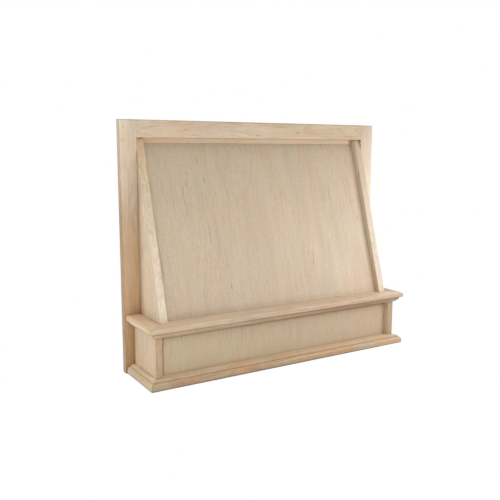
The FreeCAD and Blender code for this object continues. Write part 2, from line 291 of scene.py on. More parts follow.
# %% Putty plugs
brad_hole = 0.85 * mm
putty_dip = 0.1 * mm
putty_rim = putty_dip * 2
putty_depth = 1.3 * mm
plug_sides = 16
front_brads = [x * mm for x in (-255, -85, 85, 255)]
side_brads = [y * mm for y in (30.6, -22.4)]
cap_line = 349.525 * mm
cap_brad_y = -53.36 * mm
cap_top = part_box("cap_front")[1][2]
base_line = 378.35 * mm
base_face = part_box("base_front")[0][1]
brad_height = 4.0 * mm


def plug(shape, mouth, outward):
    mouth, outward = Vector(mouth), Vector(outward)
    turn = Vector((0, 0, 1)).rotation_difference(outward).to_matrix().to_4x4()
    middle = mouth - outward * (putty_dip + putty_depth / 2)
    made = bmesh.ops.create_cone(shape, cap_ends=True, segments=plug_sides, radius1=brad_hole,
                                 radius2=brad_hole, depth=putty_depth,
                                 matrix=Matrix.Translation(middle) @ turn)
    top = [v for v in made["verts"] if (v.co - mouth).dot(outward) > -putty_rim]
    rim = {edge for v in top for edge in v.link_edges if all(end in top for end in edge.verts)}
    bmesh.ops.bevel(shape, geom=list(rim), offset=putty_rim, offset_type="OFFSET", segments=2,
                    profile=0.5, affect="EDGES", material=-1, clamp_overlap=True)


putty_shape = bmesh.new()
for x in front_brads:
    plug(putty_shape, (x, cap_brad_y, cap_top), (0, 0, 1))
    plug(putty_shape, (x, base_face, brad_height), (0, -1, 0))
for side in (-1, 1):
    for y in side_brads:
        plug(putty_shape, (side * cap_line, y, cap_top), (0, 0, 1))
        plug(putty_shape, (side * base_line, y, brad_height), (side, 0, 0))
putty_mesh = bpy.data.meshes.new("brad_putty")
putty_shape.to_mesh(putty_mesh)
putty_shape.free()
putty = bpy.data.objects.new("brad_putty", putty_mesh)
bpy.context.scene.collection.objects.link(putty)
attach(putty, "root")
print("putty plugs:", len(front_brads) * 2 + len(side_brads) * 4)

# %% [markdown]
# ## Tools for patterns
#
# Everything that is seen on wood is a pattern in it, from broad bands to fine fibres. Patterns
# could be painted, but here they are worked out from soft clouds of noise that fill space. What
# several finishes share is a node group with named inputs and outputs, built once. These helpers
# open such a group, stretch a place, lay clouds, turn a value into a mask, and mix colours.

# %% Pattern helpers
halfway = 0.5
cloud_roughness = 0.55


def open_group(name, inputs, outputs):
    tree = bpy.data.node_groups.new(name, "ShaderNodeTree")
    kinds = {"vector": "NodeSocketVector", "colour": "NodeSocketColor", "value": "NodeSocketFloat"}
    for title, kind in inputs:
        tree.interface.new_socket(title, in_out="INPUT", socket_type=kinds[kind])
    for title, kind in outputs:
        tree.interface.new_socket(title, in_out="OUTPUT", socket_type=kinds[kind])
    return tree, add_node(tree, "NodeGroupInput").outputs, add_node(tree, "NodeGroupOutput").inputs


def stretch(tree, place, factors):
    node = add_node(tree, "ShaderNodeVectorMath", operation="MULTIPLY")
    feed(tree, node.inputs[0], place)
    feed(tree, node.inputs[1], factors)
    return node.outputs[0]


def cloud(tree, place, fineness, detail, output=0):
    node = add_node(tree, "ShaderNodeTexNoise")
    feed(tree, node.inputs["Vector"], place)
    node.inputs["Scale"].default_value = fineness
    node.inputs["Detail"].default_value = detail
    node.inputs["Roughness"].default_value = cloud_roughness
    return node.outputs[output]


def ramp(tree, value, low, high, low_out=0.0, high_out=1.0):
    node = add_node(tree, "ShaderNodeMapRange", interpolation_type="SMOOTHSTEP")
    for socket, given in zip(node.inputs, (value, low, high, low_out, high_out)):
        feed(tree, socket, given)
    return node.outputs[0]


def blend(tree, amount, first, second, way="MIX"):
    node = add_node(tree, "ShaderNodeMix", data_type="RGBA", blend_type=way)
    feed(tree, node.inputs[0], amount)
    feed(tree, node.inputs[6], first)
    feed(tree, node.inputs[7], second)
    return node.outputs[2]


def stain(tree, colour, tone):
    return blend(tree, 1.0, colour, tone, way="MULTIPLY")


def share(tree, value, amount):
    # how far a pattern is above its middle, times the amount asked for
    return sum_up(tree, "MULTIPLY", sum_up(tree, "SUBTRACT", value, halfway), amount)


print("pattern helpers: open_group, stretch, cloud, ramp, blend, stain and share")

# %% [markdown]
# ## Maple grain, once for every board
#
# A board is cut out of a log, so its figure is a slice through the log's growth rings. A picture
# of wood would be flat and would end at the edges. A pattern that fills space does what a log
# does: every face of a board shows its own cut of the same rings, and they meet at the corners.
# The group works in the log's own space, with the grain along Z. Clouds that are drawn out along
# the grain make broad bands, streaks, a mottle and fine fibres, and a slow wander bends them all.

# %% Maple grain group
wander_reach = (0.012, 0.012, 0.0)

grain_group, given, made = open_group(
    "maple_grain",
    [("Place", "vector"), ("Pale", "colour"), ("Deep", "colour"), ("Blush", "colour"),
     ("Straw", "colour"), ("Bands", "value"), ("Streaks", "value"), ("Mottle", "value"),
     ("Rings", "value"), ("Flecks", "value")],
    [("Colour", "colour"), ("Height", "value"), ("Gloss", "value")])
tree = grain_group
place = given["Place"]


def drawn(source, squeeze, fineness, detail, output=0):
    # the more a cloud's place is squeezed along the grain, the longer the cloud is there
    long_way = stretch(grain_group, source, (1, 1, squeeze))
    return cloud(grain_group, long_way, fineness, detail, output)


wander = add_node(tree, "ShaderNodeVectorMath", operation="MULTIPLY_ADD")
feed(tree, wander.inputs[0], drawn(place, squeeze=0.3, fineness=10, detail=2, output=1))
feed(tree, wander.inputs[1], wander_reach)
feed(tree, wander.inputs[2], place)
bent = wander.outputs[0]

bands = drawn(bent, squeeze=0.13, fineness=38, detail=3)
streaks = drawn(bent, squeeze=0.1, fineness=210, detail=2)
mottle = drawn(bent, squeeze=0.6, fineness=240, detail=1)
fibres = drawn(bent, squeeze=0.025, fineness=1200, detail=2)
print("clouds along the grain: wander, bands, streaks, mottle and fibres")

# %% [markdown]
# ## Growth rings
#
# Each year adds a ring to a tree, pale at first and dark at its end. Blender's wave texture draws
# rings too, but even ones. Here the distance from the log's middle is counted in years: the
# trunk tapers, so the count leans along the grain, and the bands push it to and fro. What is left
# of each year is raised to a power, so that the dark line is narrow.

# %% Growth rings
ring_spacing = 7 * mm
ring_sharpness = 5.0
ring_mean = 0.17
log_taper = 0.05
band_pull = 1.8

parts = add_node(tree, "ShaderNodeSeparateXYZ")
feed(tree, parts.inputs[0], bent)
across = sum_up(tree, "POWER", parts.outputs[0], 2.0)
through = sum_up(tree, "POWER", parts.outputs[1], 2.0)
radius = sum_up(tree, "SQRT", sum_up(tree, "ADD", across, through))
leaning = sum_up(tree, "MULTIPLY_ADD", parts.outputs[2], log_taper, radius)
counted = sum_up(tree, "DIVIDE", leaning, ring_spacing)
years = sum_up(tree, "MULTIPLY_ADD", bands, band_pull, counted)
ring = sum_up(tree, "POWER", sum_up(tree, "FRACT", years), ring_sharpness)
print("a ring every", ring_spacing / mm, "mm")

# %% [markdown]
# ## Depth of tone
#
# Where the figure is strong, the wood goes from its pale tone to its deep one. The patterns could
# each be painted over the last, but then the last one would win. They are added up as shares above
# and below the middle, each as strong as the board asks, so that the board's mean tone stays. Real
# streaks come in lively and in quiet patches, so their share swells and fades.

# %% Depth of tone
fibre_amount = 0.5

depth = sum_up(tree, "ADD", halfway, share(tree, bands, given["Bands"]))
lively = ramp(tree, drawn(place, squeeze=0.3, fineness=17, detail=2), low=0.36, high=0.64,
              low_out=0.3, high_out=1.6)
streaky = sum_up(tree, "MULTIPLY", given["Streaks"], lively)
depth = sum_up(tree, "ADD", depth, share(tree, streaks, streaky))
depth = sum_up(tree, "ADD", depth, share(tree, mottle, given["Mottle"]))
depth = sum_up(tree, "ADD", depth, share(tree, fibres, fibre_amount))
above_mean = sum_up(tree, "SUBTRACT", ring, ring_mean)
depth = sum_up(tree, "MULTIPLY_ADD", above_mean, given["Rings"], depth)
wood = blend(tree, depth, given["Pale"], given["Deep"])
print("depth of tone from bands, streaks, mottle, fibres and rings")

# %% [markdown]
# ## Warm patches and flecks
#
# Maple blushes pink in some places and yellows like straw in others, and it is strewn with short
# dark flecks and hair-thin lines. One colour with brightness changes alone would look like stone.
# Broad clouds mark where the two tints lie, and the flecks are the peaks of finer clouds, kept
# only where they crowd together.

# %% Warm patches and flecks
streak_height = 0.4
fleck_brown = (0.66, 0.58, 0.49, 1)

warm = ramp(tree, drawn(bent, squeeze=0.4, fineness=24, detail=2), low=0.38, high=0.66)
wood = blend(tree, warm, wood, stain(tree, wood, given["Blush"]))
cool = ramp(tree, drawn(place, squeeze=0.35, fineness=31, detail=2), low=0.36, high=0.66)
wood = blend(tree, cool, wood, stain(tree, wood, given["Straw"]))

fleck = ramp(tree, drawn(place, squeeze=0.13, fineness=170, detail=1), low=0.66, high=0.76)
crowd = ramp(tree, drawn(place, squeeze=0.5, fineness=24, detail=1), low=0.46, high=0.6)
hair = ramp(tree, drawn(place, squeeze=0.04, fineness=150, detail=1), low=0.67, high=0.8,
            low_out=0.0, high_out=0.6)
fleck = sum_up(tree, "MAXIMUM", sum_up(tree, "MULTIPLY", fleck, crowd), hair)
fleck = sum_up(tree, "MULTIPLY", fleck, given["Flecks"])
feed(tree, made["Colour"], blend(tree, fleck, wood, stain(tree, wood, fleck_brown)))
feed(tree, made["Height"], sum_up(tree, "MULTIPLY_ADD", streaks, streak_height, fibres))
feed(tree, made["Gloss"], bands)
print("grain group with", len(tree.nodes), "nodes")

# %% [markdown]
# ## The ends and edges of a board
#
# Sawn across, maple is darker, because the open ends of its vessels swallow the light. Its narrow
# edges are cut from the side of the log and often have a tone of their own. The faces could be
# picked by hand, but a face's own direction tells which it is: where it points along the grain,
# it is an end. The masks are soft, so an eased edge fades from face to end as a real one does.

# %% End grain group
vessel_tint = (1.0, 0.95, 0.88)

end_group, given, made = open_group(
    "maple_ends",
    [("Place", "vector"), ("Facing", "vector"), ("Edges", "colour"), ("Colour", "colour")],
    [("Colour", "colour")])
tree = end_group
parts = add_node(tree, "ShaderNodeSeparateXYZ")
feed(tree, parts.inputs[0], given["Facing"])
ends = ramp(tree, sum_up(tree, "ABSOLUTE", parts.outputs[2]), low=0.55, high=0.9)
sides = ramp(tree, sum_up(tree, "ABSOLUTE", parts.outputs[0]), low=0.6, high=0.9)
vessels = cloud(tree, stretch(tree, given["Place"], (1, 1, 0.2)), fineness=1900, detail=1)
pores = ramp(tree, vessels, low=0.3, high=0.55, low_out=0.72, high_out=0.9)
swallowed = add_node(tree, "ShaderNodeCombineColor")
for socket, keep in zip(swallowed.inputs, vessel_tint):
    feed(tree, socket, sum_up(tree, "MULTIPLY", pores, keep))
edged = blend(tree, sides, given["Colour"], stain(tree, given["Colour"], given["Edges"]))
darker = stain(tree, given["Colour"], swallowed.outputs[0])
feed(tree, made["Colour"], blend(tree, ends, edged, darker))
print("end grain group with", len(tree.nodes), "nodes")

# %% [markdown]
# ## Tone that drifts across a board, much of it painted light and shade
#
# A ramp from end to end would do for a straight drift along one board, but each board drifts its
# own way. Here the drift is a slope of tone through space, away from a middle and with a slope for
# each of red, green and blue, and it is held between a least and a most, so that no corner burns
# out. On many boards it is painted light and shade: the cap and the base lighter towards their
# tops, the left stile darker and warmer towards its foot in the wedge's shade and warm bounce,
# the left apron side darker and warmer towards the back in the stile's shadow, the slope panel
# darker towards its top in the rail's shade, and the rail darker towards its top and towards the
# right, against the near lamp. On the other boards it makes the tone lighter or darker towards
# one side.

# %% Drift group
least_drift = 0.5

drift_group, given, made = open_group(
    "tone_drift",
    [("Place", "vector"), ("Middle", "vector"), ("Red", "vector"), ("Green", "vector"),
     ("Blue", "vector"), ("Most", "value"), ("Colour", "colour")],
    [("Colour", "colour")])
tree = drift_group
away = add_node(tree, "ShaderNodeVectorMath", operation="SUBTRACT")
feed(tree, away.inputs[0], given["Place"])
feed(tree, away.inputs[1], given["Middle"])
tint = add_node(tree, "ShaderNodeCombineColor")
for socket, title in zip(tint.inputs, ("Red", "Green", "Blue")):
    lean = add_node(tree, "ShaderNodeVectorMath", operation="DOT_PRODUCT")
    feed(tree, lean.inputs[0], away.outputs[0])
    feed(tree, lean.inputs[1], given[title])
    shift = sum_up(tree, "ADD", lean.outputs["Value"], 1.0)
    held = sum_up(tree, "MINIMUM", shift, given["Most"])
    feed(tree, socket, sum_up(tree, "MAXIMUM", held, least_drift))
toned = add_node(tree, "ShaderNodeVectorMath", operation="MULTIPLY")
feed(tree, toned.inputs[0], given["Colour"])
feed(tree, toned.inputs[1], tint.outputs[0])
feed(tree, made["Colour"], toned.outputs[0])
print("drift group with", len(tree.nodes), "nodes")

# %% [markdown]
# ## Painted shade along the arrises
#
# A board's arrises and the creases of its mouldings are painted a little darker than its faces,
# as a thin line of shade. They could be painted along each edge, but they are found with the Bevel
# node, which bends the normal near an edge: where it leaves the face's own normal, there is an
# arris.

# %% Arris group
arris_shade_group, given, made = open_group(
    "painted_arris_shade",
    [("Flat", "vector"), ("Bent", "vector"), ("Rubbed", "colour"), ("Colour", "colour")],
    [("Colour", "colour")])
tree = arris_shade_group
likeness = add_node(tree, "ShaderNodeVectorMath", operation="DOT_PRODUCT")
feed(tree, likeness.inputs[0], given["Flat"])
feed(tree, likeness.inputs[1], given["Bent"])
arris = ramp(tree, likeness.outputs["Value"], low=0.995, high=0.86)
arris_shade = stain(tree, given["Colour"], given["Rubbed"])
feed(tree, made["Colour"], blend(tree, arris, given["Colour"], arris_shade))
print("arris group with", len(tree.nodes), "nodes")

# %% [markdown]
# ## Painted shade in the corners
#
# Shade gathers where two boards meet and in the hollows of a moulding, and that is what makes a
# joint look like one. A thin dark strip along each joint would be a piece too many. The Ambient
# Occlusion node tells how open the air is around a point, and the group turns what is closed in
# into a soft, brownish painted shade.

# %% Painted corner shade group
closed_in = 0.4

corner_shade_group, given, made = open_group(
    "painted_corner_shade",
    [("Openness", "value"), ("Open", "value"), ("Dust", "colour"), ("Colour", "colour")],
    [("Colour", "colour")])
tree = corner_shade_group
painted_shade_mask = ramp(tree, given["Openness"], low=given["Open"], high=closed_in)
shaded = stain(tree, given["Colour"], given["Dust"])
feed(tree, made["Colour"], blend(tree, painted_shade_mask, given["Colour"], shaded))
print("dust group with", len(tree.nodes), "nodes")

# %% [markdown]
# ## Marks placed one by one
#
# Here and there a board has a fleck, a small knot or an amber streak, and along the top edge its
# tone is deeper. Other marks are painted shade in a seam, along a foot and on a shoulder, and
# painted light on a few faces. Noise never puts these where they are wanted. A mark is an
# ellipsoid in the wood with a ragged rim, placed one by one. Because it is solid, it also shows on
# the next face if it reaches round the corner, and a very long one makes a stripe.

# %% Mark group
rag_fineness = 1.6
rag_amount = 0.9

mark_group, given, made = open_group(
    "wood_and_light_mark",
    [("Place", "vector"), ("Centre", "vector"), ("Turn", "vector"), ("Reach", "vector"),
     ("Tone", "colour"), ("Colour", "colour")],
    [("Colour", "colour")])
tree = mark_group
own = add_node(tree, "ShaderNodeMapping", vector_type="TEXTURE")
own_space = {"Vector": "Place", "Location": "Centre", "Rotation": "Turn", "Scale": "Reach"}
for title, source in own_space.items():
    feed(tree, own.inputs[title], given[source])
span = add_node(tree, "ShaderNodeVectorMath", operation="LENGTH")
feed(tree, span.inputs[0], own.outputs[0])
rag = share(tree, cloud(tree, own.outputs[0], rag_fineness, detail=2), rag_amount)
marked = ramp(tree, sum_up(tree, "ADD", span.outputs["Value"], rag), low=1.0, high=0.3)
toned = stain(tree, given["Colour"], given["Tone"])
feed(tree, made["Colour"], blend(tree, marked, given["Colour"], toned))
print("mark group with", len(tree.nodes), "nodes")

# %% [markdown]
# ## Which way the grain runs
#
# A joiner lays the grain along a board's length, because that is where wood is strong and still.
# The grain group has it along Z, so every board is given the turn that brings its length there.
# Four turns are enough: up, across, from front to back, and up the slope of the front.

# %% Grain directions
slope_reach = 117.5
slope_foot = 144.8
slope_top = 539.7
slope_fall = math.atan2(slope_reach, slope_top - slope_foot)
grain_turns = {
    "up": (0, 0, 0),
    "across": (0, quarter, 0),
    "back": (quarter, 0, 0),
    "slope": (slope_fall, 0, 0),
}
print("grain can run", ", ".join(grain_turns))

# %% [markdown]
# ## A board's figure
#
# No two boards of the real thing look the same, because each came out of another log. One shared
# material would give them all the same stripes. So each board is turned until its grain runs the
# right way, cut at its own place in the log, and given a pale and a deep tone around its own
# colour. The deep tone is also browner, because dark maple loses more blue than red.

# %% Figure of a board
contrast_tint = (1.0, 1.1, 1.3)


def use(tree, group, **given):
    # place a group, set or link its inputs by name, and give back its outputs
    node = add_node(tree, "ShaderNodeGroup", node_tree=group)
    for title, value in given.items():
        feed(tree, node.inputs[title], value)
    return node.outputs


def shade(colour, contrast):
    shaded = [part * (1 + contrast * more) for part, more in zip(colour, contrast_tint)]
    return (*shaded, 1.0)


def turn_board(tree, source, grain, **settings):
    turned = add_node(tree, "ShaderNodeMapping", **settings)
    turned.inputs["Rotation"].default_value = grain_turns[grain]
    feed(tree, turned.inputs["Vector"], source)
    return turned


def figure_board(tree, surface, grain, cut, colour, contrast, blush, straw, edges, **amounts):
    log = turn_board(tree, surface["Object"], grain)
    log.inputs["Location"].default_value = Vector(cut)
    facing = turn_board(tree, surface["Normal"], grain, vector_type="VECTOR")
    figure = use(tree, grain_group, Place=log.outputs[0], Pale=shade(colour, contrast),
                 Deep=shade(colour, -contrast), Blush=(1 + blush / 2, 1 - blush / 2, 1 - blush, 1),
                 Straw=(1 - straw / 3, 1, 1 - straw, 1), **amounts)
    sawn = use(tree, end_group, Place=log.outputs[0], Facing=facing.outputs[0],
               Edges=(*edges, 1), Colour=figure["Colour"])
    return figure, sawn["Colour"]


print("figure helpers: use, shade, turn_board and figure_board")

# %% [markdown]
# ## A board's tone
#
# On top of its figure, a board has its drift, its marks, painted shade along its arrises and
# painted shade in its corners. They could be baked into one picture for each board, but as groups
# they stay sharp from close by. The order matters: what grew in the tree comes first, and the
# painted shade comes last. A front drift is held to the faces that look forwards, so that the
# sides keep their tone.

# %% Tone of a board
arris_reach = 1.3 * mm
shade_reach = 3.2 * mm
open_air = 0.92
mask_samples = 4


def drift_board(tree, surface, middle, slopes, most, tone):
    red, green, blue = slopes
    return use(tree, drift_group, Place=surface["Object"], Middle=middle, Red=red, Green=green,
               Blue=blue, Most=most, Colour=tone)["Colour"]


def tone_board(tree, surface, tone, arris_shade=(0.80, 0.77, 0.72), corner_shade=(0.55, 0.48, 0.40),
               middle=(0, 0, 0.3), drift=None, front_drift=None, most_drift=1.3, marks=()):
    if drift:
        tone = drift_board(tree, surface, middle, drift, most_drift, tone)
    if front_drift:
        front = drift_board(tree, surface, middle, front_drift, most_drift, tone)
        parts = add_node(tree, "ShaderNodeSeparateXYZ")
        feed(tree, parts.inputs[0], surface["Normal"])
        tone = blend(tree, ramp(tree, parts.outputs[1], low=-0.2, high=-0.5), tone, front)
    for centre, reach, tilt, mark_tone in marks:
        tone = use(tree, mark_group, Place=surface["Object"], Centre=Vector(centre) * mm,
                   Turn=(0, math.radians(tilt), 0), Reach=Vector(reach) * mm,
                   Tone=(*mark_tone, 1), Colour=tone)["Colour"]
    # painted shade along the arrises and in the creases, found with the Bevel node
    flat = add_node(tree, "ShaderNodeNewGeometry")
    bent = add_node(tree, "ShaderNodeBevel", samples=mask_samples)
    bent.inputs["Radius"].default_value = arris_reach
    tone = use(tree, arris_shade_group, Flat=flat.outputs["Normal"], Bent=bent.outputs[0],
               Rubbed=(*arris_shade, 1), Colour=tone)["Colour"]
    # painted shade where the air is closed in, at the joints and in the hollows
    nearby = add_node(tree, "ShaderNodeAmbientOcclusion", samples=mask_samples)
    nearby.inputs["Distance"].default_value = shade_reach
    return use(tree, corner_shade_group, Openness=nearby.outputs["AO"], Open=open_air,
               Dust=(*corner_shade, 1), Colour=tone)["Colour"]


print("tone helpers: drift_board and tone_board")

# %% [markdown]
# ## One finish for each board
#
# Raw, sanded maple is nearly matt, with a faint sheen that changes from band to band and a grain
# that can just be felt. A fixed roughness would look like plastic. So the bands of the figure also
# steer the roughness, the fibres raise a very shallow bump, and one function makes a material for
# each board out of the figure and the tones above.

# %% Maple finish
wood_shine = 0.35
fibre_rise = 0.4 * mm


def maple(name, grain, cut, colour, bands=1.0, streaks=1.0, mottle=0.6, rings=0.2, flecks=0.5,
          blush=0.06, straw=0.05, contrast=0.09, roughness=(0.46, 0.62), grain_depth=0.08,
          edges=(1.0, 1.0, 1.0), **tones):
    finish = bpy.data.materials.new(name)
    finish.use_nodes = True
    tree = finish.node_tree
    shader = tree.nodes["Principled BSDF"]
    surface = add_node(tree, "ShaderNodeTexCoord").outputs
    figure, wood = figure_board(tree, surface, grain, cut, colour, contrast, blush, straw, edges,
                                Bands=bands, Streaks=streaks, Mottle=mottle, Rings=rings,
                                Flecks=flecks)
    feed(tree, shader.inputs["Base Color"], tone_board(tree, surface, wood, **tones))
    smooth, coarse = roughness
    matt = ramp(tree, figure["Gloss"], low=0.3, high=0.7, low_out=smooth, high_out=coarse)
    feed(tree, shader.inputs["Roughness"], matt)
    shader.inputs["Specular IOR Level"].default_value = wood_shine
    bump = add_node(tree, "ShaderNodeBump")
    bump.inputs["Strength"].default_value = grain_depth
    bump.inputs["Distance"].default_value = fibre_rise
    feed(tree, bump.inputs["Height"], figure["Height"])
    feed(tree, shader.inputs["Normal"], bump.outputs[0])
    return finish


def dress(node_name, finish):
    shape = boards[node_name].data
    if not shape.materials:
        shape.materials.append(finish)
    for slot in range(len(shape.materials)):
        shape.materials[slot] = finish


def dress_all(looks):
    for name, look in looks.items():
        dress(name, maple(name, **look))
    print("dressed:", ", ".join(looks))


print("finish helpers: maple, dress and dress_all")

# %% [markdown]
# ## The face frame
#
# Two stiles stand with their grain upright, and the rail between them has it lengthwise and the
# liveliest figure of all. Each board's colour is what raw maple shows there, and its cut is a
# place in the log that was tried until its figure looked right. A mark is written as its centre
# and its half-lengths in millimetres, its tilt in degrees, and the tone that it gives the wood.

# %% Dress the face frame
fleck_tone = (0.72, 0.66, 0.58)
knot_tone = (0.66, 0.60, 0.50)
amber_tone = (0.93, 0.80, 0.62)
line_tone = (0.80, 0.74, 0.66)
# a deeper painted shade along the arrises, for the boards round the outline
dark_arris = (0.68, 0.63, 0.57)
crown_tone = (0.74, 0.71, 0.64)
back_tone = (0.62, 0.58, 0.50)
frame_face = 56.6
end_to_end = 1500

stile_marks = [
    ((-377.5, frame_face, 559.0), (2.0, 4, 6.5), 35, line_tone),
    ((-371.3, frame_face, 560.0), (2.0, 4, 6.0), -40, line_tone),
    ((-372.0, frame_face, 590.0), (5.0, 5, 3.0), 20, line_tone),
    # a broad painted shade on the middle of the stile's face, then its side face painted lighter up
    # top as painted light and browner lower down as painted shade
    ((-361.0, frame_face, 335.0), (90, 10, 130), 0, (0.89, 0.88, 0.85)),
    ((-381.0, 66.0, 620.0), (3.0, 40, 240), 0, (1.22, 1.34, 1.52)),
    ((-381.0, 66.0, 230.0), (3.0, 40, 240), 0, (0.90, 0.84, 0.75)),
    ((-381.0, 76.8, 300.0), (12, 5.5, 2000), 0, back_tone),
    ((-361.0, 60.0, 607.6), (300, 60, 4), 0, crown_tone),
]
rail_marks = [
    ((-212.7, frame_face, 585.0), (7, 6, 1.7), 14, fleck_tone),
    ((-124.6, frame_face, 583.8), (5, 5, 1.6), 12, line_tone),
    ((-34.4, frame_face, 597.8), (9, 6, 1.8), -4, amber_tone),
    ((119.4, frame_face, 582.4), (9, 6, 2.4), 0, knot_tone),
    ((321.2, frame_face, 592.3), (6, 5, 2.6), 0, fleck_tone),
    ((-300.8, frame_face, 591.4), (14, 5, 2.2), -3, line_tone),
    ((-201.7, frame_face, 599.3), (24, 8, 2.6), -3, amber_tone),
    ((-61.1, frame_face, 599.8), (22, 8, 2.4), 2, amber_tone),
    ((60.0, frame_face, 596.0), (30, 8, 2.6), -2, amber_tone),
    ((0, 60.0, 607.6), (end_to_end, 60, 4), 0, crown_tone),
]
dress_all({
    "frame_left_stile": dict(
        grain="up", cut=(0.10, 0.12, 0.3), colour=(0.556, 0.424, 0.299), bands=1.8, streaks=3.0,
        blush=0.09, edges=(0.82, 0.82, 0.79), arris_shade=dark_arris, middle=(-0.361, 0.0566, 0.356),
        # the front drift paints the stile darker and warmer towards its foot, as the wedge's shade
        # and the warm light that it throws back
        front_drift=((-2.8, 0, 0.29), (-4.8, 0, 0.8), (-7.2, 0, 1.5)), most_drift=1.6,
        marks=stile_marks),
    "frame_right_stile": dict(
        grain="up", cut=(-0.31, 0.09, 1.9), colour=(0.594, 0.488, 0.380), streaks=1.4,
        edges=(0.85, 0.84, 0.82), middle=(0.363, 0.0566, 0.5),
        front_drift=((2.4, 0, -1.6), (4.0, 0, -1.8), (4.8, 0, -2.0)), most_drift=1.2),
    "frame_top_rail": dict(
        grain="across", cut=(-0.59, -0.01, 2.7), colour=(0.521, 0.411, 0.295), bands=1.6,
        streaks=2.6, mottle=1.3, rings=0.8, flecks=1.0, blush=0.06, straw=0.03,
        arris_shade=dark_arris, middle=(-0.036, 0.0566, 0.586),
        # the drift paints the rail darker towards its top and towards the right, against the light
        # of the near lamp
        drift=((-0.26, 0, -2.2), (-0.29, 0, -1.7), (-0.45, 0, -1.6)), marks=rail_marks),
})

# %% [markdown]
# ## The side boards
#
# The wedge-shaped boards of the slope and the boxed sides of the apron are solid maple too, with
# their grain upright. Their narrow front edges face the viewer and the light, so their tone is
# set apart from that of the broad faces, which on the right are only seen from the other side.
# The left apron side is painted darker towards the back, in the stile's shadow, and the inner
# face of the right apron side is painted lighter, as painted light.

# %% Dress the side boards
dress_all({
    "left_slope_side": dict(
        grain="up", cut=(0.42, 0.10, 3.1), colour=(0.605, 0.492, 0.362), streaks=4.4, blush=0.08,
        straw=0.02, edges=(1.0, 1.01, 1.02), middle=(-0.34, 0.014, 0.37),
        front_drift=((0, 0, -1.0), (0, 0, -1.25), (0, 0, -1.8)),
        marks=[((-340.0, 22.9, 269.6), (4, 1.2, 12), 0, line_tone)]),
    "right_slope_side": dict(
        grain="up", cut=(-0.22, 0.16, 4.4), colour=(0.55, 0.453, 0.350), streaks=2.6,
        edges=(1.08, 1.08, 1.06), middle=(0.34, 0.014, 0.39),
        front_drift=((0, 0, -1.0), (0, 0, -1.3), (0, 0, -1.6))),
    "left_apron_side": dict(
        grain="up", cut=(0.44, 0.13, 5.2), colour=(0.540, 0.388, 0.255), bands=1.5, streaks=3.2,
        mottle=1.6, blush=0.12, edges=(1.16, 1.27, 1.36), middle=(-0.36, -0.012, 0.07),
        # the drift paints this side darker and warmer towards the back, as the stile's shadow
        drift=((0, -0.7, -0.7), (0, -0.8, -0.5), (0, -1.2, -0.15))),
    "right_apron_side": dict(
        grain="up", cut=(-0.27, 0.11, 6.0), colour=(0.42, 0.306, 0.197), streaks=1.6,
        # the side-face tone and the long mark paint the inner face lighter, as painted light, and
        # the corner shade is kept light
        corner_shade=(0.85, 0.8, 0.75), edges=(1.42, 1.5, 1.72),
        marks=[((340.0, 0, 60.0), (7, 900, 900), 0, (1.14, 1.19, 1.10))]),
})

# %% [markdown]
# ## The mouldings
#
# The cap and the base are planed with a profile and mitred round the corners, so the grain of
# each length runs along it. A moulding cutter leaves the wood smoother than paper does, and it
# shines a little more. Long marks give the rounded shoulders, the foot and the cap's lower lip
# the deeper tones that a photograph shows there, as painted shade, and a few broad marks on the
# cap are painted light. A drift paints the front of the cap and all of the base lighter towards
# their tops.

# %% Dress the mouldings
planed_smooth = (0.34, 0.5)
# painted shade on the rounded shoulders and along the foot of the base
shoulder_shade = (0.91, 0.85, 0.78)
foot_shade = (0.46, 0.43, 0.37)

